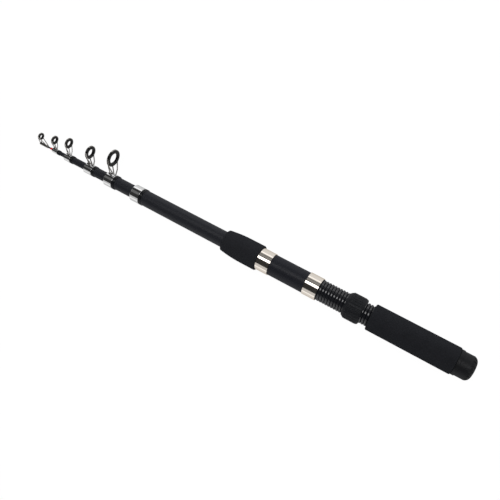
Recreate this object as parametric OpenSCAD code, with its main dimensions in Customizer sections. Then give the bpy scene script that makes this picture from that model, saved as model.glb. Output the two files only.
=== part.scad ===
// Telescopic fishing rod, closed.
// Five hollow sections and a solid tip nest in one another. The butt carries foam grips and a screw seat.
// X runs along the rod from the butt end to the tip, Z is up, and the reel hangs below the seat.
// All sizes are in millimetres.

/* [Blank] */
// Diameter of the solid tip at its end
tip_d = 1.9; // [1.5:0.1:2.6]
// Diameter that a section gains for each metre towards its base
taper_per_m = 3; // [2:0.25:4]
// Wall of the fifth section at its tip end
fifth_wall = 0.67; // [0.5:0.01:1]
// Wall of the fourth section at its tip end
fourth_wall = 0.92; // [0.6:0.01:1.2]
// Wall of the third section at its tip end
third_wall = 0.95; // [0.6:0.01:1.3]
// Wall of the second section at its tip end
second_wall = 0.9; // [0.6:0.01:1.3]
// Wall of the butt section at its tip end
butt_wall = 1.09; // [0.8:0.01:1.5]
// Diameter that the outside of the butt gains for each metre towards its base
butt_taper_per_m = 1; // [0:0.25:2]
// Length of a section that stays inside the next one when the rod is drawn out
lock_overlap = 52; // [30:1:80]
// Room around a section where it locks
slide_fit = 0.05; // [0.03:0.01:0.1]

/* [Closed rod] */
// Butt end to the tip end of the butt section
butt_len = 387.3; // [360:0.1:430]
// How far the second section stands out
second_show = 38.3; // [30:0.1:50]
// How far the third section stands out
third_show = 30.8; // [24:0.1:45]
// How far the fourth section stands out
fourth_show = 31.1; // [24:0.1:45]
// How far the fifth section stands out
fifth_show = 19.9; // [16:0.1:30]
// How far the tip stands out
tip_show = 19.7; // [14:0.1:30]
// Turn of the guides about the rod, from straight up
guide_turn = 90; // [0:5:355]

/* [Collars and whippings] */
// Diameter of the butt collar
butt_collar_d = 18.5; // [18:0.1:20]
// Diameter of the second section's collar
second_collar_d = 15.9; // [14.8:0.1:17]
// Diameter of the third section's collar
third_collar_d = 12.2; // [11.7:0.1:13.5]
// Diameter of the fourth section's collar
fourth_collar_d = 9; // [8.5:0.1:10]
// Diameter of the fifth section's collar
fifth_collar_d = 5.6; // [5.2:0.1:6.5]
// Length of the butt collar
butt_collar_len = 11.2; // [9:0.1:15]
// Length of the second section's collar
second_collar_len = 10.7; // [9:0.1:15]
// Length of the third section's collar
third_collar_len = 10.7; // [9:0.1:14]
// Length of the fourth section's collar
fourth_collar_len = 8.6; // [7:0.1:12]
// Length of the fifth section's collar
fifth_collar_len = 7.8; // [6:0.1:10]
// Least wall of a collar and its whipping, for which a thicker tube is ground down
collar_wall = 0.35; // [0.2:0.05:0.45]
// Thickness of a collar's lip over the end of its tube
collar_lip = 0.6; // [0.4:0.1:1]
// Length of the lacquered whipping behind a collar
whipping_len = 3.7; // [2:0.1:5]
// Length of the red band on the tip
band_len = 3.4; // [2:0.1:3.6]
// Thickness of the red band
band_wall = 0.3; // [0.2:0.05:0.6]

/* [Line guides] */
// Outside diameter of the second section's guide ring
second_ring_d = 20; // [17:0.1:22]
// Bore of the second section's guide ring
second_ring_bore = 11.8; // [9:0.1:12.5]
// Height of the second section's ring centre over the rod's axis
second_ring_height = 23.2; // [21:0.1:28]
// Outside diameter of the third section's guide ring
third_ring_d = 15.6; // [13:0.1:16.5]
// Bore of the third section's guide ring
third_ring_bore = 8.2; // [6.5:0.1:9]
// Height of the third section's ring centre over the rod's axis
third_ring_height = 17.1; // [16:0.1:22]
// Outside diameter of the fourth section's guide ring
fourth_ring_d = 12.6; // [10.5:0.1:14]
// Bore of the fourth section's guide ring
fourth_ring_bore = 5.9; // [5:0.1:7]
// Height of the fourth section's ring centre over the rod's axis
fourth_ring_height = 15.2; // [13:0.1:18]
// Outside diameter of the fifth section's guide ring
fifth_ring_d = 10.6; // [8.8:0.1:11.5]
// Bore of the fifth section's guide ring
fifth_ring_bore = 4.5; // [3.8:0.1:5.5]
// Height of the fifth section's ring centre over the rod's axis
fifth_ring_height = 10.8; // [10:0.1:13]
// Outside diameter of the tip ring
tip_ring_d = 8.8; // [7.4:0.1:9.5]
// Bore of the tip ring
tip_ring_bore = 3.9; // [3.4:0.1:4.5]
// Height of the tip ring's centre over the rod's axis
tip_ring_height = 7.3; // [7:0.1:9]
// Thickness of the second and third sections' rings along the rod
ring_t = 3; // [2.2:0.1:3.6]
// Thickness of the smaller rings along the rod
small_ring_t = 2.4; // [1.6:0.1:3]
// Metal band that a guide's frame puts around its ring
ring_band = 0.5; // [0.4:0.05:0.8]
// Wire of the second and third sections' guide frames
big_wire_d = 1.3; // [1:0.1:1.6]
// Wire of the fourth and fifth sections' guide frames and of the tip
small_wire_d = 0.9; // [0.7:0.1:1.2]
// Ring centre ahead of the front of its collar
ring_lead = 2.6; // [1:0.1:4]
// Diameter of the tip's tube
tip_tube_d = 3.2; // [2.9:0.1:4]
// Length of the tip's tube
tip_tube_len = 12.4; // [9:0.1:14]
// Closed end of the tip's tube
tip_tube_cap = 1; // [0.8:0.1:1.5]
// Tip ring centre in front of the tip's tube
tip_ring_reach = 2.3; // [1.6:0.1:5]

/* [Handle] */
// Length of the butt cap
cap_len = 17; // [14:0.1:22]
// Diameter of the butt cap
cap_d = 24.2; // [22:0.1:26]
// Diameter of the flange where the cap meets the grip
cap_flange_d = 25.3; // [24.4:0.1:27]
// Length of that flange
cap_flange_len = 3.2; // [2:0.1:5]
// Diameter of the cap's flat end
cap_end_d = 10; // [8:0.1:14]
// Length of the cap's domed end
cap_rim_len = 5; // [4:0.1:6.5]
// Number of finger scallops around the cap's end
cap_scallops = 15; // [10:1:18]
// Diameter of a scallop
scallop_d = 3.2; // [2.4:0.1:3.6]
// Depth of a scallop halfway along the domed end
scallop_depth = 1.1; // [0.6:0.1:1.4]
// Lean of a scallop towards the cap's end
scallop_tilt = 39; // [34:1:44]
// Diameter of the cap's screw plug
plug_d = 12.8; // [11:0.1:13.2]
// Wall of the hollow plug
plug_wall = 2; // [1.5:0.1:3]
// Length of the plug inside the butt
plug_len = 10.5; // [8:0.1:14]
// Diameter of the flange on the butt's screw bush
bush_flange_d = 19.2; // [18:0.1:19.6]
// Thickness of that flange
bush_flange_t = 1.5; // [1:0.1:2]
// Thickness of the soft pad that the closed sections stand on
pad_t = 2.2; // [1:0.1:4]
// Length of the rear grip
rear_grip_len = 85; // [70:0.1:120]
// Diameter of the rear grip
rear_grip_d = 27.1; // [25.6:0.1:32]
// Length of the foregrip
foregrip_len = 41.8; // [30:0.1:60]
// Diameter of the foregrip
foregrip_d = 27; // [25:0.1:32]
// Diameter of the foregrip's narrow front end
foregrip_front_d = 23.1; // [20.5:0.1:24.5]
// Length of the foregrip's rounded front
foregrip_nose = 12; // [6:0.5:20]
// Rounding of the foam's edges
grip_edge = 1.2; // [0.5:0.1:2]

/* [Reel seat] */
// Length of the seat's barrel, hood to rear grip
seat_len = 123.8; // [110:0.1:150]
// Diameter of the smooth part of the barrel
seat_d = 22.1; // [21.8:0.05:24]
// Diameter over the thread
thread_d = 21.5; // [20.9:0.05:21.7]
// Depth of the thread
thread_depth = 1.2; // [0.8:0.05:1.25]
// Advance of the thread in one turn
thread_pitch = 3; // [2:0.25:4]
// Length of the thread
thread_len = 62.7; // [55:0.1:70]
// Length of both hoods
hood_len = 14.2; // [13:0.1:17]
// Space between the two hoods
hood_gap = 40; // [32:0.1:50]
// Sheet metal of the hoods
hood_wall = 0.5; // [0.4:0.05:0.8]
// Room between the moving hood and the barrel
hood_fit = 0.15; // [0.1:0.05:0.3]
// Height of a hood's mouth over the barrel, where the reel's foot goes in
foot_room = 4.5; // [4.3:0.1:5.5]
// Radius of a hood's swelling around the foot
swell_r = 8; // [7:0.1:9]
// Start of the cushion in a hood, from its mouth
cushion_from = 8.5; // [7:0.1:9]
// Space between the cushion and the hood's closed end
cushion_end_gap = 1; // [0.6:0.1:1.5]
// Width of the barrel's keyway under the moving hood
keyway_w = 4; // [3:0.1:5]
// Depth of the keyway
keyway_depth = 1.3; // [1:0.05:1.4]
// Length of the lock nut
nut_len = 17.9; // [15:0.1:22]
// Diameter of the lock nut
nut_d = 27.1; // [25.5:0.1:30]
// Least wall of the lock nut over the thread
nut_wall = 1.6; // [1.2:0.1:1.7]
// Space between the lock nut and the rear grip
nut_gap = 8.4; // [4:0.1:12]
// Length of the nut's rounded back
nut_round_len = 4; // [3:0.1:6]
// Length of the nut's bevelled front
nut_bevel_len = 3; // [2:0.1:5]
// Number of grooves around the nut
nut_grooves = 30; // [18:1:40]
// Radius of a groove
nut_groove_r = 0.8; // [0.5:0.05:1]

/* [Hidden] */
$fn = 96;
// Film of glue between the pieces of one section
glue = 0.05;
// Gap between flat faces that part
face_gap = 0.3;
// Room around the nut and around what slides in the barrel
run_gap = 0.3;
key_gap = 0.2;

SECTIONS = ["butt", "second", "third", "fourth", "fifth"];
taper = taper_per_m / 1000;
butt_taper = butt_taper_per_m / 1000;

// Tip ends of the sections along X, butt first, and the plane that the nested sections stand on
second_end = butt_len + second_show;
third_end = second_end + third_show;
fourth_end = third_end + fourth_show;
fifth_end = fourth_end + fifth_show;
tip_end = fifth_end + tip_show;
ends = [butt_len, second_end, third_end, fourth_end, fifth_end, tip_end];
pad_front = cap_len + plug_len + pad_t;
base_x = pad_front + face_gap;

// A bore takes the base of the section inside it with slide_fit to spare when lock_overlap is left inside
walls = [butt_wall, second_wall, third_wall, fourth_wall, fifth_wall];
function base_d(i) = end_d(i) + taper * (ends[i] - base_x);
function bore_d(i) = base_d(i + 1) - taper * lock_overlap + 2 * slide_fit;
function end_d(i) = i == 5 ? tip_d : bore_d(i) + 2 * walls[i];
// Outside diameter of a section at a place on X
function tube_d_at(i, x) = end_d(i) + (i == 0 ? butt_taper : taper) * (ends[i] - x);
// Diameters of the butt's outside and inside at a place on X
function butt_d_at(x) = tube_d_at(0, x);
function butt_bore_at(x) = bore_d(0) + taper * (butt_len - x);

collar_ds = [butt_collar_d, second_collar_d, third_collar_d, fourth_collar_d, fifth_collar_d];
collar_lens = [butt_collar_len, second_collar_len, third_collar_len, fourth_collar_len, fifth_collar_len];
function collar_front(i) = ends[i] + collar_lip;
function collar_back(i) = collar_front(i) - collar_lens[i];
function whipping_back(i) = collar_back(i) - whipping_len;
// Diameter of a tube where its collar and whipping sit
function seat_d_at(i, x) = min(tube_d_at(i, x), collar_ds[i] - 2 * (collar_wall + glue));

// Guides, indexed as the sections that carry them
ring_ds = [0, second_ring_d, third_ring_d, fourth_ring_d, fifth_ring_d];
ring_bores = [0, second_ring_bore, third_ring_bore, fourth_ring_bore, fifth_ring_bore];
ring_heights = [0, second_ring_height, third_ring_height, fourth_ring_height, fifth_ring_height];
wire_ds = [0, big_wire_d, big_wire_d, small_wire_d, small_wire_d];
ring_ts = [0, ring_t, ring_t, small_ring_t, small_ring_t];
// Rounding of the rings' edges, as a share of their thickness
ring_rounding = 0.25;
tip_tube_front = tip_end + tip_tube_cap;
tip_tube_back = tip_tube_front - tip_tube_len;
tip_ring_x = tip_tube_front + tip_ring_reach;

// Stations of the handle along X
seat_back = cap_len + rear_grip_len;
seat_front = seat_back + seat_len;
grip_front = seat_front + foregrip_len;
thread_front = seat_back + thread_len;
nut_back = seat_back + nut_gap;
fixed_mouth = seat_front - hood_len;
moving_mouth = fixed_mouth - hood_gap;
// The moving hood slides over the smooth barrel and over the thread
slide_d = max(seat_d, thread_d);
hood_d = slide_d + 2 * (hood_fit + hood_wall);
// Slope of a hood's swelling, which runs out at the hood's closed end
swell_drop = slide_d / 2 + foot_room + hood_wall - swell_r;
swell_tilt = atan((foot_room - hood_fit) / hood_len);
cushion_to = hood_len - cushion_end_gap;
// The keyway starts in the thread and runs on past the moving hood
key_floor = slide_d / 2 - keyway_depth;
keyway_back = seat_back + thread_pitch;
keyway_front = moving_mouth + 3 * thread_pitch;

chrome = "#cfccc8";
dark_chrome = "#8d8c8b";
eva_black = "#1d1e1f";
lacquer_black = "#26272b";
gloss_black = "#1f2024";
ring_black = "#161515";
pad_grey = "#5c5c5a";
signal_red = "#e8201c";

// A solid of revolution about the rod's axis, from [x, radius] points
module turned(points) {
    rotate([0, 90, 0])
        rotate_extrude()
            polygon([for (p = points) [p[1], p[0]]]);
}

// A round bar along X
module bar(x0, x1, d) {
    translate([x0, 0, 0])
        rotate([0, 90, 0])
            cylinder(h = x1 - x0, d = d);
}

// Points of a rounded corner at the back or the front end of a turned piece
function back_edge(x, r, e) = [for (a = [0:15:90]) [x + e - e * cos(a), r - e + e * sin(a)]];
function front_edge(x, r, e) = [for (a = [0:15:90]) [x - e + e * sin(a), r - e + e * cos(a)]];

// A sleeve along X with rounded outer edges and a cone for its bore
module sleeve(x0, x1, d, bore0, bore1, edge) {
    turned(concat(
        [[x0, bore0 / 2]],
        back_edge(x0, d / 2, edge),
        front_edge(x1, d / 2, edge),
        [[x1, bore1 / 2]]
    ));
}

// The butt's outside with its film of glue, cut from what is slid over it
module butt_core(x0, x1) {
    turned([
        [x0, 0],
        [x0, butt_d_at(x0) / 2 + glue],
        [x1, butt_d_at(x1) / 2 + glue],
        [x1, 0]
    ]);
}

// Round wire from point to point, with bends a little thicker than the wire
module wire(points, d) {
    bend_d = 1.06 * d;
    for (i = [0:len(points) - 2]) {
        run = points[i + 1] - points[i];
        translate(points[i])
            rotate([0, acos(run.z / norm(run)), atan2(run.y, run.x)])
                cylinder(h = norm(run), d = d, $fn = 24);
        if (i > 0)
            translate(points[i])
                sphere(d = bend_d, $fn = 24);
    }
}

// Turns what is modelled with its guide straight up to the side where the guides lie
module at_guide() {
    rotate([guide_turn, 0, 0])
        children();
}

// A tapered hollow section, ground down under its collar where the collar's wall asks for it
module section_tube(i) {
    back = i == 0 ? cap_len : base_x;
    seat = whipping_back(i);
    ground = seat_d_at(i, seat) < tube_d_at(i, seat);
    color(lacquer_black)
        turned(concat(
            [
                [back, (bore_d(i) + taper * (ends[i] - back)) / 2],
                [back, tube_d_at(i, back) / 2]
            ],
            ground ? [[seat, tube_d_at(i, seat) / 2], [seat, seat_d_at(i, seat) / 2]] : [],
            [
                [ends[i], seat_d_at(i, ends[i]) / 2],
                [ends[i], bore_d(i) / 2]
            ]
        ));
}

// Metal collar around the end of a tube, with a lip over the tube's end
module section_collar(i) {
    edge = 0.4;
    color(chrome)
        turned(concat(
            [[collar_back(i), seat_d_at(i, collar_back(i)) / 2 + glue]],
            back_edge(collar_back(i), collar_ds[i] / 2, edge / 2),
            front_edge(collar_front(i), collar_ds[i] / 2, edge),
            [
                [collar_front(i), bore_d(i) / 2 + glue],
                [ends[i], bore_d(i) / 2 + glue],
                [ends[i], seat_d_at(i, ends[i]) / 2 + glue]
            ]
        ));
}

// Lacquered thread wound on behind a collar
module section_whipping(i) {
    front = collar_back(i);
    back = whipping_back(i);
    back_bore = seat_d_at(i, back) + 2 * glue;
    front_bore = seat_d_at(i, front) + 2 * glue;
    color(gloss_black)
        sleeve(back, front, collar_ds[i], back_bore, front_bore, (collar_ds[i] - back_bore) / 4);
}

// Corner-rounded section of a ring
module ring_section(radial, t) {
    corner = ring_rounding * t;
    square([radial - 2 * corner, t], center = true);
    square([radial, t - 2 * corner], center = true);
    for (u = [-1, 1])
        for (v = [-1, 1])
            translate([u * (radial / 2 - corner), v * (t / 2 - corner)])
                circle(r = corner, $fn = 32);
}

// Hard ring that the line runs through
module line_ring(x, height, ring_d, ring_bore, t) {
    radial = (ring_d - ring_bore) / 2 - ring_band;
    color(ring_black)
        at_guide()
            translate([x, 0, height])
                rotate([0, 90, 0])
                    rotate_extrude()
                        translate([ring_bore / 2 + radial / 2, 0])
                            ring_section(radial, t);
}

module section_ring(i) {
    line_ring(collar_front(i) + ring_lead, ring_heights[i], ring_ds[i], ring_bores[i], ring_ts[i]);
}

// Thin metal band around a ring, as wide as the flat of the ring's rim
module band_around(x, height, ring_d, t) {
    wide = t * (1 - 2 * ring_rounding);
    translate([x - wide / 2, 0, height])
        rotate([0, 90, 0])
            cylinder(h = wide, d = ring_d);
}

// Space that a frame leaves for its ring
module ring_seat(x, height, ring_d, t) {
    translate([x - t, 0, height])
        rotate([0, 90, 0])
            cylinder(h = 2 * t, d = ring_d - 2 * (ring_band - glue));
}

// A point on a ring's rim, measured from the rim's lowest point
function rim_point(x, height, ring_d, turn) =
    [x, ring_d / 2 * sin(turn), height - ring_d / 2 * cos(turn)];

// Wire legs that carry a ring over its collar
module section_frame(i) {
    x = collar_front(i) + ring_lead;
    height = ring_heights[i];
    ring_d = ring_ds[i];
    d = wire_ds[i];
    foot = collar_ds[i] / 2;
    // Places of the legs on the ring's rim and of the outer feet on the collar, as turns from the middle
    outer_turn = 75;
    inner_turn = 26;
    foot_turn = 40;
    // The feet stand this share of the collar's length from its back, and end this deep in its radius
    foot_at = 0.5;
    foot_depth = 0.9;
    foot_x = collar_back(i) + foot_at * collar_lens[i];
    // The outer legs bend at this share of their way down, a little outwards
    bend_at = 0.6;
    bend_out = 0.2 * foot;
    color(dark_chrome)
        at_guide()
            difference() {
                union() {
                    band_around(x, height, ring_d, ring_ts[i]);
                    for (side = [-1, 1]) {
                        rim = rim_point(x, height, ring_d, side * outer_turn);
                        sunk = foot_depth * foot;
                        low = [foot_x, side * sunk * sin(foot_turn), sunk * cos(foot_turn)];
                        bend = rim + bend_at * (low - rim) + bend_out * [0, side, 0.5];
                        wire([rim, bend, low], d);
                        wire([
                            rim_point(x, height, ring_d, side * inner_turn),
                            [foot_x, side * 0.6 * d, sunk]
                        ], d);
                    }
                }
                ring_seat(x, height, ring_d, ring_ts[i]);
                bar(collar_back(i) - 2 * d, collar_front(i) + 2 * d, collar_ds[i]);
            }
}

module foregrip() {
    back = seat_front;
    color(eva_black)
        difference() {
            turned(concat(
                [[back, 0]],
                back_edge(back, foregrip_d / 2, grip_edge),
                [for (a = [0:10:90]) [
                    grip_front - foregrip_nose * (1 - sin(a)),
                    foregrip_front_d / 2 + (foregrip_d - foregrip_front_d) / 2 * cos(a)
                ]],
                [[grip_front, 0]]
            ));
            butt_core(back - 1, grip_front + 1);
        }
}

module rear_grip() {
    color(eva_black)
        difference() {
            sleeve(cap_len, seat_back, rear_grip_d, 0, 0, grip_edge);
            butt_core(cap_len - 1, seat_back + 1);
        }
}

// The helical thread as one closed skin, a turn longer at each end than the stretch it is cut to
module thread_skin() {
    steps = 24;
    turns = ceil(thread_len / thread_pitch) + 3;
    last = steps * turns;
    crest = thread_d / 2;
    root = crest - thread_depth;
    // Across one pitch: root, flank, crest, flank
    across = [0.15, 0.35, 0.65, 0.85] * thread_pitch;
    radii = [root, crest, crest, root];
    x0 = seat_back - 2 * thread_pitch;
    function grid(k, j) = k * 4 + j;
    spots = [for (k = [0:last]) for (j = [0:3])
        let (a = 360 * k / steps)
            [x0 + thread_pitch * k / steps + across[j], radii[j] * cos(a), radii[j] * sin(a)]];
    back_hub = len(spots);
    front_hub = back_hub + 1;
    hubs = [[x0 + thread_pitch / 2, 0, 0], [x0 + thread_pitch * (turns + 0.5), 0, 0]];
    ridge = [for (k = [0:last - 1]) for (j = [0:2]) each [
        [grid(k, j), grid(k, j + 1), grid(k + 1, j + 1)],
        [grid(k, j), grid(k + 1, j + 1), grid(k + 1, j)]]];
    valley = [for (k = [0:last - steps - 1]) each [
        [grid(k, 3), grid(k + steps, 0), grid(k + steps + 1, 0)],
        [grid(k, 3), grid(k + steps + 1, 0), grid(k + 1, 3)]]];
    back_loop = concat(
        [for (k = [0:steps]) grid(k, 0)],
        [for (j = [3:-1:0]) grid(0, j)]);
    front_loop = concat(
        [for (k = [last - steps:last]) grid(k, 3)],
        [for (j = [2:-1:0]) grid(last, j)],
        [grid(last - steps, 3)]);
    back_fan = [for (i = [0:len(back_loop) - 2]) [back_hub, back_loop[i], back_loop[i + 1]]];
    front_fan = [for (i = [0:len(front_loop) - 2]) [front_hub, front_loop[i + 1], front_loop[i]]];
    polyhedron(points = concat(spots, hubs), faces = concat(ridge, valley, back_fan, front_fan));
}

// Barrel of the reel seat: smooth under the hoods and the foot, threaded behind
module reel_seat() {
    color(gloss_black)
        difference() {
            union() {
                bar(thread_front, seat_front, seat_d);
                intersection() {
                    thread_skin();
                    bar(seat_back, thread_front, 2 * seat_d);
                }
            }
            butt_core(seat_back - 1, seat_front + 1);
            translate([keyway_back, -keyway_w / 2, -slide_d])
                cube([keyway_front - keyway_back, keyway_w, slide_d - key_floor]);
        }
}

// A hood's body from its mouth at X = 0: a ring with a swelling below that runs out at the closed end
module hood_body(ring_d, radius) {
    intersection() {
        union() {
            bar(0, hood_len, ring_d);
            translate([0, 0, -swell_drop])
                rotate([0, -swell_tilt, 0])
                    bar(-hood_len, 2 * hood_len, 2 * radius);
        }
        bar(0, hood_len, 4 * seat_d);
    }
}

module hood_shell(bore) {
    difference() {
        hood_body(hood_d, swell_r);
        bar(-1, hood_len + 1, bore);
        translate([0, 0, -swell_drop])
            rotate([0, -swell_tilt, 0])
                bar(-hood_len, 2 * hood_len, 2 * (swell_r - hood_wall));
    }
}

// Plastic wedge in a hood's closed end that the reel's foot bears on
module hood_wedge(bore) {
    difference() {
        intersection() {
            translate([0, 0, -swell_drop])
                rotate([0, -swell_tilt, 0])
                    bar(-hood_len, 2 * hood_len, 2 * (swell_r - hood_wall - glue));
            bar(cushion_from, cushion_to, 4 * seat_d);
        }
        bar(-1, hood_len + 1, bore);
        translate([-hood_len, -seat_d, -bore / 2 + 1])
            cube([3 * hood_len, 2 * seat_d, 2 * seat_d]);
    }
}

module fixed_hood() {
    color(chrome)
        translate([fixed_mouth, 0, 0])
            hood_shell(seat_d + 2 * glue);
}

module fixed_hood_cushion() {
    color(ring_black)
        translate([fixed_mouth, 0, 0])
            hood_wedge(seat_d + 2 * glue);
}

module moving_hood() {
    color(chrome)
        translate([moving_mouth, 0, 0])
            mirror([1, 0, 0])
                hood_shell(slide_d + 2 * hood_fit);
}

// The moving hood's cushion has a key that keeps the hood from turning
module moving_hood_cushion() {
    key_w = keyway_w - 2 * key_gap;
    // The key starts inside the wedge, clears the keyway's floor and stops before the wedge's thin end
    key_top = slide_d / 2 + hood_fit + 0.6;
    key_foot = key_floor + key_gap;
    key_len = cushion_to - cushion_from - 2.5;
    color(ring_black)
        translate([moving_mouth, 0, 0])
            mirror([1, 0, 0])
                union() {
                    hood_wedge(slide_d + 2 * hood_fit);
                    translate([cushion_from, -key_w / 2, -key_top])
                        cube([key_len, key_w, key_top - key_foot]);
                }
}

// Grooved nut that drives the moving hood
module lock_nut() {
    // Flat rings are left around the bore at both ends, and the rounded back starts outside its own
    bore_r = thread_d / 2 + run_gap;
    // A nut on a thicker thread is thicker too
    r = max(nut_d / 2, bore_r + nut_wall);
    front_r = bore_r + 0.5;
    back_r = bore_r + 1.1;
    color(eva_black)
        difference() {
            translate([nut_back, 0, 0])
                turned(concat(
                    [[0, 0]],
                    [for (a = [0:15:90]) [nut_round_len * (1 - cos(a)), back_r + (r - back_r) * sin(a)]],
                    [[nut_len - nut_bevel_len, r], [nut_len, front_r], [nut_len, 0]]
                ));
            bar(nut_back - 1, nut_back + nut_len + 1, 2 * bore_r);
            for (k = [1:nut_grooves])
                rotate([360 * k / nut_grooves, 0, 0])
                    translate([0, 0, r + 0.4 * nut_groove_r])
                        bar(nut_back - 1, nut_back + nut_len + 1, 2 * nut_groove_r, $fn = 24);
        }
}

// Screwed bush in the end of the butt that takes the cap's plug
module butt_bush() {
    sleeve_end = cap_len + plug_len;
    color(gloss_black)
        difference() {
            union() {
                bar(cap_len - bush_flange_t, cap_len - glue, bush_flange_d);
                bar(cap_len - bush_flange_t, sleeve_end, butt_bore_at(sleeve_end) - 2 * glue);
            }
            bar(cap_len - 2 * bush_flange_t, sleeve_end + 1, plug_d + 2 * key_gap);
        }
}

// Butt cap with finger scallops around its end and a hollow plug
module butt_cap() {
    r = cap_d / 2;
    end_r = cap_end_d / 2;
    flange_r = cap_flange_d / 2;
    flange_edge = 0.5;
    front = cap_len - key_gap;
    flange_back = front - cap_flange_len;
    recess_back = cap_len - bush_flange_t - 2 * key_gap;
    plug_front = cap_len + plug_len;
    plug_floor = 3;
    // The dome is a quarter ellipse, and a scallop crosses it at half its length
    function dome(a) = [cap_rim_len * (1 - sin(a)), end_r + (r - end_r) * cos(a)];
    scallop_at = dome(30);
    scallop_out = (scallop_d / 2 - scallop_depth) / cos(scallop_tilt);
    color(gloss_black)
        difference() {
            union() {
                difference() {
                    turned(concat(
                        [[0, 0]],
                        [for (a = [90:-10:0]) dome(a)],
                        [[flange_back, r]],
                        back_edge(flange_back, flange_r, flange_edge),
                        [[front, flange_r], [front, 0]]
                    ));
                    bar(recess_back, front + 1, bush_flange_d + 4 * key_gap);
                }
                bar(cap_rim_len, plug_front, plug_d);
            }
            bar(cap_rim_len + plug_floor, plug_front + 1, plug_d - 2 * plug_wall);
            for (k = [1:cap_scallops])
                rotate([360 * k / cap_scallops, 0, 0])
                    translate([scallop_at[0], 0, scallop_at[1] + scallop_out])
                        rotate([0, -scallop_tilt, 0])
                            bar(-3 * scallop_d, 3 * scallop_d, scallop_d, $fn = 32);
        }
}

// Soft pad on the cap's plug, where the closed sections come to rest
module cap_pad() {
    color(pad_grey) {
        bar(cap_len + plug_len, pad_front, plug_d - 2 * key_gap);
        bar(cap_len, cap_len + plug_len, plug_d - 2 * plug_wall - 2 * glue);
    }
}

module tip_rod() {
    color(lacquer_black)
        turned([[base_x, 0], [base_x, base_d(5) / 2], [tip_end, tip_d / 2], [tip_end, 0]]);
}

// Diameter of the tip at a place on X
function tip_d_at(x) = tip_d + taper * (tip_end - x);

module tip_band() {
    back = collar_front(4) + face_gap;
    front = back + band_len;
    d = tip_d_at(back) + 2 * band_wall;
    color(signal_red)
        sleeve(back, front, d, tip_d_at(back) + 2 * glue, tip_d_at(front) + 2 * glue, band_wall / 2);
}

// Metal tube over the tip's end
module tip_top_tube() {
    r = tip_tube_d / 2;
    edge = tip_tube_d / 10;
    color(chrome)
        turned(concat(
            [[tip_tube_back, tip_d_at(tip_tube_back) / 2 + glue]],
            back_edge(tip_tube_back, r, edge),
            front_edge(tip_tube_front, r, 2 * edge),
            [[tip_tube_front, 0], [tip_end, 0], [tip_end, tip_d / 2 + glue]]
        ));
}

// Two braces from the ring's sides to the tube's back, and two short legs from under the ring to its front
module tip_top_frame() {
    d = small_wire_d;
    brace_turn = 72;
    leg_turn = 28;
    r = tip_tube_d / 2;
    brace_foot = [tip_tube_back + 0.12 * tip_tube_len, 0.9 * r, 0.6 * r];
    leg_foot = [tip_tube_front - d, 0.6 * r, 0.2 * r];
    color(dark_chrome)
        at_guide()
            difference() {
                union() {
                    band_around(tip_ring_x, tip_ring_height, tip_ring_d, small_ring_t);
                    for (side = [-1, 1]) {
                        wire([
                            rim_point(tip_ring_x, tip_ring_height, tip_ring_d, side * brace_turn),
                            [brace_foot.x, side * brace_foot.y, brace_foot.z]
                        ], d);
                        wire([
                            rim_point(tip_ring_x, tip_ring_height, tip_ring_d, side * leg_turn),
                            [leg_foot.x, side * leg_foot.y, leg_foot.z]
                        ], d);
                    }
                }
                ring_seat(tip_ring_x, tip_ring_height, tip_ring_d, small_ring_t);
                bar(tip_tube_back - d, tip_tube_front, tip_tube_d);
            }
}

module tip_top_ring() {
    line_ring(tip_ring_x, tip_ring_height, tip_ring_d, tip_ring_bore, small_ring_t);
}

foregrip();
reel_seat();
fixed_hood();
fixed_hood_cushion();
rear_grip();
butt_bush();
cap_pad();
butt_cap();
moving_hood();
moving_hood_cushion();
lock_nut();
for (i = [0:4]) {
    section_tube(i);
    section_collar(i);
    section_whipping(i);
}
for (i = [1:4]) {
    section_frame(i);
    section_ring(i);
}
tip_rod();
tip_band();
tip_top_tube();
tip_top_frame();
tip_top_ring();
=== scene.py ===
"""Finishes, soft parts and studio for a telescopic fishing rod.

The rod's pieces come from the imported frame, and most of them only get their finish here. The foam grips,
the thread windings, the barrel of the reel seat and the butt pad are modelled anew. A plain studio goes
around the rod, with a camera that sees it as the photograph does.
"""

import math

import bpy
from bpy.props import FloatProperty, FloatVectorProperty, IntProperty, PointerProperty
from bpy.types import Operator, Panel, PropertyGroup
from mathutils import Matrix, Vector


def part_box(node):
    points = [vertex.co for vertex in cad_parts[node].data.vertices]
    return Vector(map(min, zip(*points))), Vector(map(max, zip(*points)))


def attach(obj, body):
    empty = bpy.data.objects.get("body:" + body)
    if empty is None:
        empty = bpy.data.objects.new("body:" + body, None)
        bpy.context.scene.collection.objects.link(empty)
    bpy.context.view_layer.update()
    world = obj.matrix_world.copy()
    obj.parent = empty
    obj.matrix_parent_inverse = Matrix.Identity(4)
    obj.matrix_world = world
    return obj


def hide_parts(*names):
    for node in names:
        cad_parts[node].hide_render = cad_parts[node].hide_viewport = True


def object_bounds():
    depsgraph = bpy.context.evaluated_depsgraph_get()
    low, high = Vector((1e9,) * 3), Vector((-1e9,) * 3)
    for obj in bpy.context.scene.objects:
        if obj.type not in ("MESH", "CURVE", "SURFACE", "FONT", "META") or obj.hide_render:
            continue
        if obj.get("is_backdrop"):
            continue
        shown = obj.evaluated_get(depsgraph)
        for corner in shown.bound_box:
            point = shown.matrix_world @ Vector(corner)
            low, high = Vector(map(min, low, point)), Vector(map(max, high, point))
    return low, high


bl_info = {
    "name": "Telescopic Fishing Rod",
    "version": (1, 0, 0),
    "blender": (4, 5, 0),
    "location": "View3D > Sidebar > Rod",
    "description": "Finishes, soft parts and studio for a telescopic fishing rod",
    "category": "Object",
}

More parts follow.
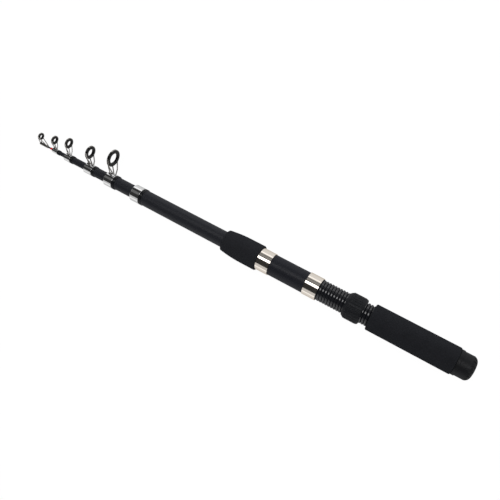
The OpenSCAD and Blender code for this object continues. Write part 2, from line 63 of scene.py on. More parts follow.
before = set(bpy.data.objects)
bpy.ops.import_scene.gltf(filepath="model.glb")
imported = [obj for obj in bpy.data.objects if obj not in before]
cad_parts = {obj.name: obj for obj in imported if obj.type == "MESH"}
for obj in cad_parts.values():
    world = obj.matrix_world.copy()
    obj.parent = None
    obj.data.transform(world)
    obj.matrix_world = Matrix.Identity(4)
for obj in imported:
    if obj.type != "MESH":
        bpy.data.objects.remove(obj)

MM = 0.001
AXIS = Vector((1, 0, 0))
SECTIONS = ("butt", "second", "third", "fourth", "fifth")
GUIDED = SECTIONS[1:]
# Points nearer to each other than this are one point
WELD = 0.005 * MM
# Edges that turn by less than this are shaded smooth
SMOOTH_BELOW = math.radians(40)
# Spacing of the points along a straight stretch of foam
FOAM_STATION = 1.5 * MM
# Steps around the edge of a grip, and around a small lip
EDGE_STEPS = 5
LIP_STEPS = 4


def linear(hex_colour):
    """Linear RGBA of an sRGB hex colour."""
    parts = [int(hex_colour[k:k + 2], 16) / 255 for k in (1, 3, 5)]
    return tuple(p / 12.92 if p <= 0.04045 else ((p + 0.055) / 1.055) ** 2.4 for p in parts) + (1.0,)


def colour(label, words, hex_colour):
    """A colour property."""
    return FloatVectorProperty(
        name=label, description=words, subtype="COLOR", size=4, min=0, max=1, default=linear(hex_colour))


def length(label, words, millimetres):
    """A length property, given in millimetres."""
    return FloatProperty(
        name=label, description=words, default=millimetres * MM, min=0, unit="LENGTH", precision=5)


def angle(label, words, degrees):
    """An angle property, given in degrees."""
    return FloatProperty(name=label, description=words, default=math.radians(degrees), subtype="ANGLE")


def brightness(label, words, strength):
    """A brightness property."""
    return FloatProperty(name=label, description=words, default=strength, min=0)


class RodFinishes(PropertyGroup):
    """Colours of the rod's materials."""

    blank: colour("Blank", "Lacquer over the carbon blank", "#26272C")
    fibre: colour("Fibre", "Carbon tape that shows through the lacquer", "#33343A")
    hood_plate: colour("Hood plate", "Warm nickel-chrome plate on the hoods", "#D6CFC6")
    collar_plate: colour("Collar plate", "Neutral chrome plate on the collars", "#D0D0D0")
    wire: colour("Guide wire", "Dark plate on the guide frames' wire", "#8C8A87")
    ceramic: colour("Guide ring", "Hard rings that the line runs through", "#100F0F")
    winding: colour("Winding", "Black thread under lacquer", "#1A1B1E")
    red: colour("Red winding", "Red thread at the tip", "#E8141B")
    rear_foam: colour("Rear foam", "Ground EVA foam of the rear grip", "#222326")
    # Same EVA foam as the rear grip, painted paler: painted light for the stronger light from above on the
    # middle of the rod
    fore_foam_painted_light: colour("Foregrip foam", "Ground EVA foam of the foregrip, a little paler", "#27282B")
    foam_cell: colour("Foam cells", "Cut cells in the foam's surface", "#333438")
    # Same nylon as the thread, painted paler: painted light for the light from above on the barrel
    barrel: colour("Barrel", "Nylon of the seat's smooth barrel", "#23242A")
    # Same nylon as the barrel, painted darker: painted shade that takes out the side lights on the thread's
    # flanks
    thread: colour("Thread", "Nylon of the seat's thread", "#1C1D21")
    nut: colour("Lock nut", "Nylon of the lock nut and of the hoods' cushions", "#212225")
    cap: colour("Butt cap", "Plastic of the butt cap and its bush", "#1C1D1F")
    rubber: colour("Rubber", "Pad that the closed sections stand on", "#5C5C5A")


class RodSizes(PropertyGroup):
    """Sizes of the modelled pieces and of the surface patterns."""

    # Thread, foam cells and mould grain are finer on a real rod, and are drawn this coarse to show
    winding_pitch: length("Winding pitch", "Thread to thread on a winding", 0.3)
    winding_relief: length("Winding relief", "Depth between two threads under the lacquer", 0.07)
    foam_cell: length("Foam cell", "Cut cells of the foam", 0.6)
    foam_edge: length("Foam edge", "Rounding of the grips' ends", 1.2)
    foam_waviness: length("Foam waviness", "Unevenness that grinding leaves on the foam", 0.06)
    nose_length: length("Foregrip nose", "Length over which the foregrip narrows to its front", 24.5)
    nose_diameter: length("Nose diameter", "Diameter of the foregrip's front end", 23.1)
    tape_pitch: length("Tape pitch", "Wrap to wrap of the tape that the blank is rolled from", 2.5)
    polish_line: length("Polishing lines", "Width of the faint polishing bands around chrome", 0.6)
    mould_grain: length("Moulding grain", "Grain of the moulded plastic", 0.35)
    thread_pitch: length("Thread pitch", "Advance of the seat's thread in one turn", 3)
    thread_depth: length("Thread depth", "Depth of the seat's thread", 1.2)
    thread_diameter: length("Thread diameter", "Diameter over the seat's thread", 21.5)
    thread_length: length("Thread length", "Length of the seat's thread", 62.7)
    keyway_width: length("Keyway width", "Width of the slot that keeps the moving hood from turning", 4)
    keyway_depth: length("Keyway depth", "Depth of that slot", 1.3)
    round_steps: IntProperty(
        name="Steps", description="Sides of a turned piece", default=96, min=24, max=256)


class RodStudio(PropertyGroup):
    """Camera and lights."""

    aim_along: length("Aim along", "Place on the rod's axis that the picture's centre looks at", 239.6)
    aim_aside: length("Aim aside", "Offset of the picture's centre towards the guides", 2.8)
    distance: length("Distance", "Camera to the place that it aims at", 588)
    azimuth: angle("Azimuth", "Camera's place around the rod", -56.1)
    elevation: angle("Elevation", "Camera's height over the floor", 69.07)
    tilt: angle("Tilt", "Fall of the rod across the picture", 27.65)
    view_angle: angle("View angle", "Width of the picture as an angle", 47)
    floor_white: brightness("Floor", "Own light of the floor, which keeps it white", 0.97)
    overhead: brightness("Overhead", "Light of the softbox over the rod", 4.5)
    far_side: brightness("Far side", "Light of the large softbox away from the guides", 0.76)
    guide_side: brightness("Guide side", "Light of the dim panel on the guides' side", 0.28)
    guide_side_low: brightness("Low guide side", "Light of the low strip on the guides' side", 0.85)
    ceiling: brightness("Ceiling", "Light of the ceiling beyond the overhead softbox", 0.13)


def add_node(material, kind, settings=None, values=None, links=None):
    """Adds a shader node with its settings, its sockets' values and its links."""
    tree = material.node_tree
    made = tree.nodes.new(kind)
    for name, value in (settings or {}).items():
        setattr(made, name, value)
    for name, value in (values or {}).items():
        made.inputs[name].default_value = value
    for name, source in (links or {}).items():
        tree.links.new(source, made.inputs[name])
    return made


def empty_material(name):
    """A material with no nodes in it."""
    made = bpy.data.materials.new(name)
    made.use_nodes = True
    made.node_tree.nodes.clear()
    return made


def finish_material(material, shader):
    """Sends a shader to the material's output."""
    add_node(material, "ShaderNodeOutputMaterial", links={"Surface": shader.outputs["BSDF"]})
    return material


def per_metre(spacing):
    """Pattern scale that repeats once in a spacing, on coordinates in metres."""
    return 1 / spacing


def dress(material, *nodes):
    """Gives frame nodes a material."""
    for name in nodes:
        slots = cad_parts[name].data.materials
        slots.clear()
        slots.append(material)


def lacquered_carbon(finishes, sizes):
    """Rolled carbon blank under clear lacquer: near black, with faint rings of tape and a soft gloss."""
    strand_length = 6 * MM
    strand_width = 0.5 * MM
    made = empty_material("lacquered_carbon")
    place = add_node(made, "ShaderNodeTexCoord")
    # The wave texture repeats every pi / 10 of its coordinate
    tape = add_node(
        made, "ShaderNodeTexWave",
        {"wave_type": "BANDS", "bands_direction": "X", "wave_profile": "SIN"},
        {"Scale": per_metre(sizes.tape_pitch) * math.pi / 10,
         "Distortion": 1.2, "Detail": 2, "Detail Scale": 1.5},
        {"Vector": place.outputs["Object"]})
    stretch = add_node(
        made, "ShaderNodeMapping",
        values={"Scale": (per_metre(strand_length), per_metre(strand_width), per_metre(strand_width))},
        links={"Vector": place.outputs["Object"]})
    strands = add_node(
        made, "ShaderNodeTexNoise", values={"Scale": 1, "Detail": 3, "Roughness": 0.6},
        links={"Vector": stretch.outputs["Vector"]})
    show = add_node(
        made, "ShaderNodeMapRange",
        values={"From Min": 0.45, "From Max": 0.8, "To Min": 0, "To Max": 0.55},
        links={"Value": strands.outputs["Fac"]})
    tone = add_node(
        made, "ShaderNodeMix", {"data_type": "RGBA"}, links={"Factor": show.outputs["Result"]})
    tone.inputs["A"].default_value = finishes.blank
    tone.inputs["B"].default_value = finishes.fibre
    bump = add_node(
        made, "ShaderNodeBump", values={"Strength": 0.25, "Distance": 0.02 * MM},
        links={"Height": tape.outputs["Fac"]})
    return finish_material(made, add_node(
        made, "ShaderNodeBsdfPrincipled",
        values={"Roughness": 0.6, "Specular IOR Level": 0, "Coat Weight": 0.3, "Coat Roughness": 0.42},
        links={"Base Color": tone.outputs["Result"], "Normal": bump.outputs["Normal"]}))


def polished_chrome(name, tint, sizes, roughness):
    """Chrome plate, buffed on a lathe: a mirror, a trace duller in faint bands around the piece."""
    band_length = 12 * MM
    made = empty_material(name)
    place = add_node(made, "ShaderNodeTexCoord")
    around = add_node(
        made, "ShaderNodeMapping",
        values={"Scale": (per_metre(sizes.polish_line), per_metre(band_length), per_metre(band_length))},
        links={"Vector": place.outputs["Object"]})
    bands = add_node(
        made, "ShaderNodeTexNoise", values={"Scale": 1, "Detail": 2, "Roughness": 0.5},
        links={"Vector": around.outputs["Vector"]})
    wear = add_node(
        made, "ShaderNodeMapRange",
        values={"From Min": 0.3, "From Max": 0.75, "To Min": roughness, "To Max": roughness + 0.05},
        links={"Value": bands.outputs["Fac"]})
    return finish_material(made, add_node(
        made, "ShaderNodeBsdfPrincipled",
        values={"Base Color": tint, "Metallic": 1, "Specular Tint": tint},
        links={"Roughness": wear.outputs["Result"]}))


def black_ceramic(finishes):
    """Polished hard ceramic: black with a sharp clear gloss, and a trace of pressed grain."""
    grain_size = 0.8 * MM
    made = empty_material("black_ceramic")
    place = add_node(made, "ShaderNodeTexCoord")
    grain = add_node(
        made, "ShaderNodeTexNoise", values={"Scale": per_metre(grain_size), "Detail": 2},
        links={"Vector": place.outputs["Object"]})
    gloss = add_node(
        made, "ShaderNodeMapRange", values={"To Min": 0.06, "To Max": 0.16},
        links={"Value": grain.outputs["Fac"]})
    return finish_material(made, add_node(
        made, "ShaderNodeBsdfPrincipled",
        values={"Base Color": finishes.ceramic, "Specular IOR Level": 0,
                "Coat Weight": 0.35, "Coat Roughness": 0.08},
        links={"Roughness": gloss.outputs["Result"]}))


def lacquered_winding(name, tint):
    """Wound nylon thread under lacquer: the thread's own relief with a clear coat over it."""
    fuzz_size = 0.25 * MM
    made = empty_material(name)
    place = add_node(made, "ShaderNodeTexCoord")
    fuzz = add_node(
        made, "ShaderNodeTexNoise", values={"Scale": per_metre(fuzz_size), "Detail": 2},
        links={"Vector": place.outputs["Object"]})
    gloss = add_node(
        made, "ShaderNodeMapRange", values={"To Min": 0.25, "To Max": 0.45},
        links={"Value": fuzz.outputs["Fac"]})
    return finish_material(made, add_node(
        made, "ShaderNodeBsdfPrincipled",
        values={"Base Color": tint, "Specular IOR Level": 0, "Coat Weight": 0.35, "Coat Roughness": 0.2},
        links={"Roughness": gloss.outputs["Result"]}))


def ground_foam(name, tint, finishes, sizes):
    """Closed-cell EVA foam, ground to size: matte, with cut cells that catch a little light."""
    patch_size = 9 * MM
    made = empty_material(name)
    place = add_node(made, "ShaderNodeTexCoord")
    cells = add_node(
        made, "ShaderNodeTexVoronoi", {"feature": "F1"},
        {"Scale": per_metre(sizes.foam_cell), "Randomness": 1},
        {"Vector": place.outputs["Object"]})
    patches = add_node(
        made, "ShaderNodeTexNoise", values={"Scale": per_metre(patch_size), "Detail": 4, "Roughness": 0.65},
        links={"Vector": place.outputs["Object"]})
    rim = add_node(
        made, "ShaderNodeMath", {"operation": "MULTIPLY"},
        links={0: cells.outputs["Distance"], 1: patches.outputs["Fac"]})
    tone = add_node(made, "ShaderNodeMix", {"data_type": "RGBA"}, links={"Factor": rim.outputs["Value"]})
    tone.inputs["A"].default_value = tint
    tone.inputs["B"].default_value = finishes.foam_cell
    bump = add_node(
        made, "ShaderNodeBump", values={"Strength": 0.6, "Distance": 0.12 * MM},
        links={"Height": cells.outputs["Distance"]})
    return finish_material(made, add_node(
        made, "ShaderNodeBsdfPrincipled",
        values={"Roughness": 0.95, "Specular IOR Level": 0},
        links={"Base Color": tone.outputs["Result"], "Normal": bump.outputs["Normal"]}))


def moulded_plastic(name, tint, sizes, roughness, coat, coat_roughness, coat_ior=1.5):
    """Injection-moulded plastic: an even colour, the mould's fine grain and a gloss that varies a little."""
    flow_size = 11 * MM
    made = empty_material(name)
    place = add_node(made, "ShaderNodeTexCoord")
    grain = add_node(
        made, "ShaderNodeTexNoise",
        values={"Scale": per_metre(sizes.mould_grain), "Detail": 3, "Roughness": 0.6},
        links={"Vector": place.outputs["Object"]})
    flow = add_node(
        made, "ShaderNodeTexNoise", values={"Scale": per_metre(flow_size), "Detail": 2},
        links={"Vector": place.outputs["Object"]})
    gloss = add_node(
        made, "ShaderNodeMapRange",
        values={"From Min": 0.3, "From Max": 0.7, "To Min": roughness - 0.05, "To Max": roughness + 0.08},
        links={"Value": flow.outputs["Fac"]})
    bump = add_node(
        made, "ShaderNodeBump", values={"Strength": 0.15, "Distance": 0.03 * MM},
        links={"Height": grain.outputs["Fac"]})
    return finish_material(made, add_node(
        made, "ShaderNodeBsdfPrincipled",
        values={"Base Color": tint, "Specular IOR Level": 0,
                "Coat Weight": coat, "Coat Roughness": coat_roughness, "Coat IOR": coat_ior},
        links={"Roughness": gloss.outputs["Result"], "Normal": bump.outputs["Normal"]}))


def soft_rubber(finishes):
    """Pressed soft rubber: grey and dull, with a dusty bloom."""
    bloom_size = 2 * MM
    made = empty_material("soft_rubber")
    place = add_node(made, "ShaderNodeTexCoord")
    bloom = add_node(
        made, "ShaderNodeTexNoise", values={"Scale": per_metre(bloom_size), "Detail": 4},
        links={"Vector": place.outputs["Object"]})
    dull = add_node(
        made, "ShaderNodeMapRange", values={"To Min": 0.7, "To Max": 0.95},
        links={"Value": bloom.outputs["Fac"]})
    return finish_material(made, add_node(
        made, "ShaderNodeBsdfPrincipled",
        values={"Base Color": finishes.rubber, "IOR": 1.52},
        links={"Roughness": dull.outputs["Result"]}))


def turned_size(node):
    """Back, front, smallest and largest radius of a frame node that is turned about the rod's axis."""
    low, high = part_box(node)
    radii = [math.hypot(v.co.y, v.co.z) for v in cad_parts[node].data.vertices]
    return low.x, high.x, min(radii), max(radii)


def chain(name, points):
    """A row of edges through (x, radius) points over the rod's axis."""
    bpy.ops.object.select_all(action="DESELECT")
    bpy.ops.mesh.primitive_plane_add(size=MM, location=(0, 0, 0))
    piece = bpy.context.object
    piece.name = name
    piece.data.name = name
    bpy.ops.object.mode_set(mode="EDIT")
    bpy.ops.mesh.select_all(action="SELECT")
    bpy.ops.mesh.merge(type="CENTER")
    bpy.ops.transform.translate(value=(points[0][0], 0, points[0][1]))
    for here, there in zip(points, points[1:]):
        bpy.ops.mesh.extrude_vertices_move(
            TRANSFORM_OT_translate={"value": (there[0] - here[0], 0, there[1] - here[1])})
    bpy.ops.object.mode_set(mode="OBJECT")
    return piece


def weld():
    """Joins the active piece's doubled points and turns its faces outwards, in edit mode."""
    bpy.ops.mesh.select_all(action="SELECT")
    bpy.ops.mesh.remove_doubles(threshold=WELD)
    bpy.ops.mesh.normals_make_consistent(inside=False)


def lathe(name, outline, steps):
    """Spins a closed outline of (x, radius) points about the rod's axis into a closed piece."""
    piece = chain(name, outline + outline[:1])
    bpy.ops.object.mode_set(mode="EDIT")
    weld()
    bpy.ops.mesh.spin(steps=steps, angle=2 * math.pi, center=(0, 0, 0), axis=AXIS)
    weld()
    bpy.ops.object.mode_set(mode="OBJECT")
    bpy.ops.object.shade_smooth_by_angle(angle=SMOOTH_BELOW)
    return piece


def apply(piece, modifier):
    """Applies a modifier to a piece."""
    bpy.ops.object.select_all(action="DESELECT")
    piece.select_set(True)
    bpy.context.view_layer.objects.active = piece
    bpy.ops.object.modifier_apply(modifier=modifier.name)


def cut(piece, tool):
    """Cuts a tool from a piece, and removes the tool."""
    step = piece.modifiers.new("cut", "BOOLEAN")
    step.object = tool
    step.operation = "DIFFERENCE"
    step.solver = "EXACT"
    apply(piece, step)
    bpy.data.objects.remove(tool)


def settle(piece, material, body, slot, *replaced):
    """Gives a modelled piece its material and its body, and hides the frame nodes that it stands for. The
    slot is not used.
    """
    piece.data.materials.clear()
    piece.data.materials.append(material)
    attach(piece, body)
    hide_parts(*replaced)


def arc(centre, radius, start, stop, steps):
    """Points of an arc in (x, radius), with angles in degrees from +x."""
    turns = [math.radians(start + (stop - start) * k / steps) for k in range(steps + 1)]
    return [(centre[0] + radius * math.cos(t), centre[1] + radius * math.sin(t)) for t in turns]


def stations(start, stop, spacing):
    """Evenly spaced places between two ends, without the ends."""
    count = max(1, round((stop - start) / spacing))
    return [start + (stop - start) * k / count for k in range(1, count)]


def roughen(piece, relief, size):
    """Moves a piece's surface a little, mostly inwards, in soft patches of a size."""
    patches = bpy.data.textures.new(piece.name + "_patches", "CLOUDS")
    patches.noise_scale = size
    waves = piece.modifiers.new("waviness", "DISPLACE")
    waves.texture = patches
    waves.texture_coords = "LOCAL"
    waves.strength = relief
    # A middle near 1 moves most of the surface inwards
    waves.mid_level = 0.9
    apply(piece, waves)


class ROD_OT_blank(Operator):
    """Lacquer the five tubes and the tip"""

    bl_idname = "rod.blank"
    bl_label = "Blank"

    def execute(self, context):
        scene = context.scene
        material = lacquered_carbon(scene.rod_finishes, scene.rod_sizes)
        dress(material, "tip_rod", *[name + "_tube" for name in SECTIONS])
        return {"FINISHED"}


class ROD_OT_fittings(Operator):
    """Chrome the collars and the hoods"""

    bl_idname = "rod.fittings"
    bl_label = "Chrome fittings"

    def execute(self, context):
        scene = context.scene
        finishes, sizes = scene.rod_finishes, scene.rod_sizes
        hoods = polished_chrome("nickel_chrome", finishes.hood_plate, sizes, roughness=0.08)
        dress(hoods, "fixed_hood", "moving_hood")
        collars = polished_chrome("polished_chrome", finishes.collar_plate, sizes, roughness=0.1)
        dress(collars, *[name + "_collar" for name in SECTIONS])
        return {"FINISHED"}


class ROD_OT_guides(Operator):
    """Finish the line guides' wires and rings and the tip's tube"""

    bl_idname = "rod.guides"
    bl_label = "Line guides"

    def execute(self, context):
        scene = context.scene
        wire = polished_chrome("plated_wire", scene.rod_finishes.wire, scene.rod_sizes, roughness=0.1)
        dress(wire, "tip_top_frame", "tip_top_tube", *[name + "_guide_frame" for name in GUIDED])
        ring = black_ceramic(scene.rod_finishes)
        dress(ring, "tip_top_ring", *[name + "_guide_ring" for name in GUIDED])
        return {"FINISHED"}


class ROD_OT_windings(Operator):
    """Wind the thread behind each collar and the red thread at the tip"""

    bl_idname = "rod.windings"
    bl_label = "Windings"

    def execute(self, context):
        scene = context.scene
        finishes, sizes = scene.rod_finishes, scene.rod_sizes
        black = lacquered_winding("black_winding", finishes.winding)
        red = lacquered_winding("red_winding", finishes.red)
        for name in SECTIONS:
            node = name + "_whipping"
            settle(self.wind(node, sizes), black, name, "whipping", node)
        settle(self.wind("tip_band", sizes), red, "tip", "red_band", "tip_band")
        return {"FINISHED"}

    def wind(self, node, sizes):
        """A sleeve of thread turns that thins out under the lacquer at both ends."""
        back, front, bore, top = turned_size(node)
        wall = top - bore
        points_per_turn = 4
        points = points_per_turn * round((front - back) / sizes.winding_pitch)
        relief = min(sizes.winding_relief, wall / 3)
        # Over its last two turns the winding loses up to this much of its wall
        run_out = 2 * sizes.winding_pitch
        end_loss = 0.6 * wall
        outline = [(front, bore), (back, bore)]
        for k in range(points + 1):
            x = back + (front - back) * k / points
            inset = min(x - back, front - x)
            thin = max(0, 1 - inset / run_out) ** 2 * end_loss
            dip = relief * (1 - abs(math.sin(math.pi * k / points_per_turn)))
            outline.append((x, top - thin - dip))
        return lathe(node + "_thread", outline, sizes.round_steps)


class ROD_OT_grips(Operator):
    """Model the two foam grips"""

    bl_idname = "rod.grips"
    bl_label = "Foam grips"

    def execute(self, context):
        scene = context.scene
        finishes, sizes = scene.rod_finishes, scene.rod_sizes
        patch = 4 * MM
        # The foregrip's foam colour is painted paler than the rear grip's, as painted light
        grips = (
            ("rear_grip", self.rear_outline(sizes), finishes.rear_foam),
            ("foregrip", self.fore_outline(sizes), finishes.fore_foam_painted_light))
        for node, outline, tint in grips:
            piece = lathe(node + "_foam", outline, sizes.round_steps)
            roughen(piece, sizes.foam_waviness, patch)
            settle(piece, ground_foam(node + "_eva_foam", tint, finishes, sizes), "butt", "eva", node)
        return {"FINISHED"}

    def rear_outline(self, sizes):
        """A straight grip with rounded ends."""
        back, front, bore, top = turned_size("rear_grip")
        edge = sizes.foam_edge
        return (
            [(front, bore), (back, bore)]
            + arc((back + edge, top - edge), edge, 180, 90, EDGE_STEPS)
            + [(x, top) for x in stations(back + edge, front - edge, FOAM_STATION)]
            + arc((front - edge, top - edge), edge, 90, 0, EDGE_STEPS))

    def fore_outline(self, sizes):
        """A straight grip whose front narrows in a soft bow to a small rounded lip."""
        back, front, bore, top = turned_size("foregrip")
        edge = sizes.foam_edge
        lip = edge / 4
        end = sizes.nose_diameter / 2
        start = front - sizes.nose_length
        nose_steps = 12
        nose = []
        for k in range(nose_steps):
            share = k / nose_steps
            nose.append((start + (front - lip - start) * share, end + (top - end) * (1 - share ** 2)))
        return (
            [(front, bore), (back, bore)]
            + arc((back + edge, top - edge), edge, 180, 90, EDGE_STEPS)
            + [(x, top) for x in stations(back + edge, start, FOAM_STATION)]
            + nose
            + arc((front - lip, end - lip), lip, 90, 0, LIP_STEPS))


class ROD_OT_reel_seat(Operator):
    """Model the seat's threaded barrel, and finish the lock nut and the hoods' cushions"""

    bl_idname = "rod.reel_seat"
    bl_label = "Reel seat"

    def execute(self, context):
        scene = context.scene
        finishes, sizes = scene.rod_finishes, scene.rod_sizes
        back, front, _, top = turned_size("reel_seat")
        smooth = back + sizes.thread_length
        glue = 0.02 * MM
        bore = turned_size("butt_tube")[3] + glue
        # The thread's colour is painted darker than the barrel's, as painted shade on its flanks
        # The thread's crests mirror more than plain nylon does, which the raised index of the coat gives
        glossy = moulded_plastic(
            "polished_nylon", finishes.thread, sizes,
            roughness=0.45, coat=0.2, coat_roughness=0.1, coat_ior=3)
        thread = self.thread("reel_seat_thread", back, smooth, sizes)
        self.drill(thread, back, smooth, bore, sizes)
        self.keyway(thread, top, sizes)
        settle(thread, glossy, "butt", "seat", "reel_seat")
        # The barrel's colour is painted paler than the thread's, as painted light
        satin = moulded_plastic(
            "satin_nylon", finishes.barrel, sizes, roughness=0.6, coat=0.25, coat_roughness=0.4)
        plain = [(smooth, bore), (smooth, top), (front, top), (front, bore)]
        barrel = lathe("reel_seat_barrel", plain, sizes.round_steps)
        self.keyway(barrel, top, sizes)
        settle(barrel, satin, "butt", "seat", "reel_seat")
        matte = moulded_plastic(
            "matte_nylon", finishes.nut, sizes, roughness=0.6, coat=0.2, coat_roughness=0.45)
        dress(matte, "lock_nut", "fixed_hood_cushion", "moving_hood_cushion")
        return {"FINISHED"}

    def drill(self, piece, back, front, bore, sizes):
        """Bores a solid piece for the butt."""
        spare = 2 * MM
        core = [(back - spare, 0), (back - spare, bore), (front + spare, bore), (front + spare, 0)]
        cut(piece, lathe("butt_core", core, sizes.round_steps))

    def keyway(self, piece, top, sizes):
        """Cuts the keyway along the underside of a piece."""
        # The keyway starts a turn into the thread and runs three turns past the moving hood
        key_start = turned_size("reel_seat")[0] + sizes.thread_pitch
        key_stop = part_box("moving_hood")[1].x + 3 * sizes.thread_pitch
        floor = top - sizes.keyway_depth
        bpy.ops.object.select_all(action="DESELECT")
        bpy.ops.mesh.primitive_cube_add(size=1)
        key = bpy.context.object
        bpy.ops.transform.resize(value=(key_stop - key_start, sizes.keyway_width, top))
        bpy.ops.transform.translate(value=((key_start + key_stop) / 2, 0, -floor - top / 2))
        bpy.ops.object.transform_apply()
        cut(piece, key)
        bpy.ops.object.mode_set(mode="EDIT")
        weld()
        bpy.ops.object.mode_set(mode="OBJECT")
        bpy.ops.object.shade_smooth_by_angle(angle=SMOOTH_BELOW)

    def thread(self, name, back, front, sizes):
        """A bar with a right-hand thread with crowned crests, cut square at both ends."""
        pitch = sizes.thread_pitch
        crest = sizes.thread_diameter / 2
        steps = 64
        # The thread starts and ends outside the seat, so that both cuts go through full turns
        start = back - 1.75 * pitch
        spare_turns = 4
        # Across one pitch, and the share of the thread's depth there
        shape = ((0, 0), (0.18, 0.8), (0.3, 0.96), (0.5, 1), (0.7, 0.96), (0.82, 0.8), (1, 0))
        piece = chain(name, [
            (start + across * pitch, crest - (1 - rise) * sizes.thread_depth) for across, rise in shape])
        screw = piece.modifiers.new("turns", "SCREW")
        screw.axis = "X"
        screw.angle = 2 * math.pi
        screw.screw_offset = pitch
        screw.iterations = math.ceil((front - back) / pitch) + spare_turns
        screw.steps = screw.render_steps = steps
        apply(piece, screw)
        bpy.ops.object.mode_set(mode="EDIT")
        weld()
        bpy.ops.mesh.bisect(plane_co=(back, 0, 0), plane_no=AXIS, use_fill=True, clear_inner=True)
        bpy.ops.mesh.select_all(action="SELECT")
        bpy.ops.mesh.bisect(plane_co=(front, 0, 0), plane_no=AXIS, use_fill=True, clear_outer=True)
        weld()
        bpy.ops.object.mode_set(mode="OBJECT")
        return piece


class ROD_OT_butt_end(Operator):
    """Finish the butt cap and its bush, and model the pad inside"""

    bl_idname = "rod.butt_end"
    bl_label = "Butt end"

    def execute(self, context):
        scene = context.scene
        finishes, sizes = scene.rod_finishes, scene.rod_sizes
        plastic = moulded_plastic(
            "moulded_cap", finishes.cap, sizes, roughness=0.55, coat=0.25, coat_roughness=0.45)
        dress(plastic, "butt_cap", "butt_bush")
        piece = lathe("cap_pad_rubber", self.outline(), sizes.round_steps)
        settle(piece, soft_rubber(finishes), "cap_pad", "pad", "cap_pad")
        return {"FINISHED"}

    def outline(self):
        """A crowned disc on a stem that is pushed into the cap's plug."""
        back, front, _, top = turned_size("cap_pad")
        disc = 2.2 * MM
        stem = 0.7 * top
        edge = 0.5 * MM
        crown = 0.2 * MM
        return (
            [(front, 0), (back, 0), (back, stem), (front - disc, stem), (front - disc, top)]
            + arc((front - edge - crown, top - edge), edge, 90, 0, LIP_STEPS)
            + [(front, top / 2)])


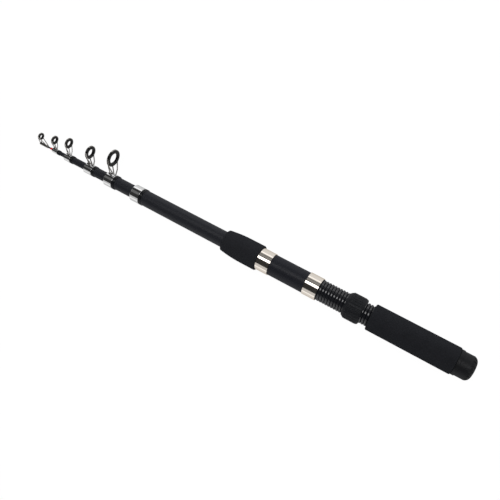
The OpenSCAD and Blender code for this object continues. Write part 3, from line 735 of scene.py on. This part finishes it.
class ROD_OT_stage(Operator):
    """Build the floor, the lights and the camera"""

    bl_idname = "rod.stage"
    bl_label = "Studio"

    def execute(self, context):
        scene = context.scene
        studio = scene.rod_studio
        scene.view_settings.view_transform = "Standard"
        self.floor(studio)
        self.surroundings(scene)
        self.lights(studio)
        self.camera(scene, studio)
        return {"FINISHED"}

    def floor(self, studio):
        """White paper under the rod, with a light of its own that takes out the shadow."""
        low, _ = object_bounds()
        bpy.ops.object.select_all(action="DESELECT")
        bpy.ops.mesh.primitive_plane_add(size=12, location=(0, 0, low.z))
        floor = bpy.context.object
        floor.name = "floor"
        paper = empty_material("white_paper")
        finish_material(paper, add_node(
            paper, "ShaderNodeBsdfPrincipled",
            values={"Base Color": linear("#4A4A4A"), "Roughness": 0.9, "Specular IOR Level": 0,
                    "Emission Color": linear("#FFFFFF"), "Emission Strength": studio.floor_white}))
        floor.data.materials.append(paper)
        floor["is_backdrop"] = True

    def surroundings(self, scene):
        """A room that is pale near the floor and dark above."""
        world = bpy.data.worlds.new("studio_room")
        world.use_nodes = True
        world.node_tree.nodes.clear()
        place = add_node(world, "ShaderNodeTexCoord")
        split = add_node(world, "ShaderNodeSeparateXYZ", links={"Vector": place.outputs["Generated"]})
        height = add_node(
            world, "ShaderNodeMapRange", {"interpolation_type": "SMOOTHSTEP"},
            {"From Min": 0.12, "From Max": 0.3, "To Min": 0.75, "To Max": 0.04},
            {"Value": split.outputs["Z"]})
        light = add_node(world, "ShaderNodeBackground", links={"Strength": height.outputs["Result"]})
        light.inputs["Color"].default_value = linear("#FFFFFF")
        add_node(world, "ShaderNodeOutputWorld", links={"Surface": light.outputs["Background"]})
        scene.world = world

    def lights(self, studio):
        """Softboxes along the rod."""
        # Ends of the softboxes along the rod, in metres
        short = (-0.65, 0.95)
        long = (-1.2, 2)
        beyond = (0.95, 2.6)
        self.softbox("overhead_softbox", -21, 21, short, studio.overhead)
        self.softbox("far_side_softbox", 68, 44, long, studio.far_side)
        self.softbox("guide_side_panel", -52, 27, short, studio.guide_side)
        self.softbox("guide_side_strip", -80, 20, long, studio.guide_side_low)
        self.softbox("ceiling_panel", -21, 34, beyond, studio.ceiling)

    def softbox(self, name, lean, width, ends, strength):
        """A softbox with a lean from straight up, away from the guides, and a width, both in degrees."""
        reach = 1.6
        lean = math.radians(lean)
        back = Vector((0, math.sin(lean), math.cos(lean)))
        across = 2 * reach * math.tan(math.radians(width) / 2)
        along = ends[1] - ends[0]
        lamp = bpy.data.lights.new(name, "AREA")
        lamp.shape = "RECTANGLE"
        lamp.size = along
        lamp.size_y = across
        lamp.energy = strength * math.pi * along * across
        box = bpy.data.objects.new(name, lamp)
        side = AXIS.cross(back)
        box.matrix_world = (
            Matrix.Translation(AXIS * (ends[0] + ends[1]) / 2 + back * reach)
            @ Matrix((AXIS, -side, back)).transposed().to_4x4())
        box.visible_camera = False
        bpy.context.scene.collection.objects.link(box)

    def camera(self, scene, studio):
        """A camera that sees the rod as the photograph does."""
        flat = math.cos(studio.elevation)
        back = Vector((
            math.sin(studio.azimuth) * flat,
            -math.cos(studio.azimuth) * flat,
            math.sin(studio.elevation)))
        along = (AXIS - AXIS.dot(back) * back).normalized()
        aside = along.cross(back)
        right = aside * math.sin(studio.tilt) - along * math.cos(studio.tilt)
        up = aside * math.cos(studio.tilt) + along * math.sin(studio.tilt)
        aim = AXIS * studio.aim_along + aside * studio.aim_aside
        data = bpy.data.cameras.new("photo_camera")
        data.sensor_width = 36
        data.angle = studio.view_angle
        data.clip_start = 0.01
        camera = bpy.data.objects.new("photo_camera", data)
        camera.matrix_world = (
            Matrix.Translation(aim + back * studio.distance)
            @ Matrix((right, up, back)).transposed().to_4x4())
        scene.collection.objects.link(camera)
        scene.camera = camera


PIECES = (ROD_OT_blank, ROD_OT_fittings, ROD_OT_guides, ROD_OT_windings, ROD_OT_grips, ROD_OT_reel_seat,
          ROD_OT_butt_end, ROD_OT_stage)
GROUPS = {"rod_finishes": RodFinishes, "rod_sizes": RodSizes, "rod_studio": RodStudio}


class VIEW3D_PT_rod(Panel):
    """The rod's pieces and settings"""

    bl_idname = "VIEW3D_PT_rod"
    bl_label = "Telescopic rod"
    bl_space_type = "VIEW_3D"
    bl_region_type = "UI"
    bl_category = "Rod"

    def draw(self, context):
        for piece in PIECES:
            self.layout.operator(piece.bl_idname)
        for group in GROUPS:
            box = self.layout.box()
            settings = getattr(context.scene, group)
            for name in settings.__annotations__:
                box.prop(settings, name)


CLASSES = (*GROUPS.values(), *PIECES, VIEW3D_PT_rod)


def register():
    for made in CLASSES:
        bpy.utils.register_class(made)
    for name, group in GROUPS.items():
        setattr(bpy.types.Scene, name, PointerProperty(type=group))


def unregister():
    for name in GROUPS:
        delattr(bpy.types.Scene, name)
    for made in reversed(CLASSES):
        bpy.utils.unregister_class(made)


def main():
    register()
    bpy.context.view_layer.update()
    bpy.ops.rod.blank()
    bpy.ops.rod.fittings()
    bpy.ops.rod.guides()
    bpy.ops.rod.windings()
    bpy.ops.rod.grips()
    bpy.ops.rod.reel_seat()
    bpy.ops.rod.butt_end()
    bpy.ops.rod.stage()


if __name__ == "__main__":
    main()
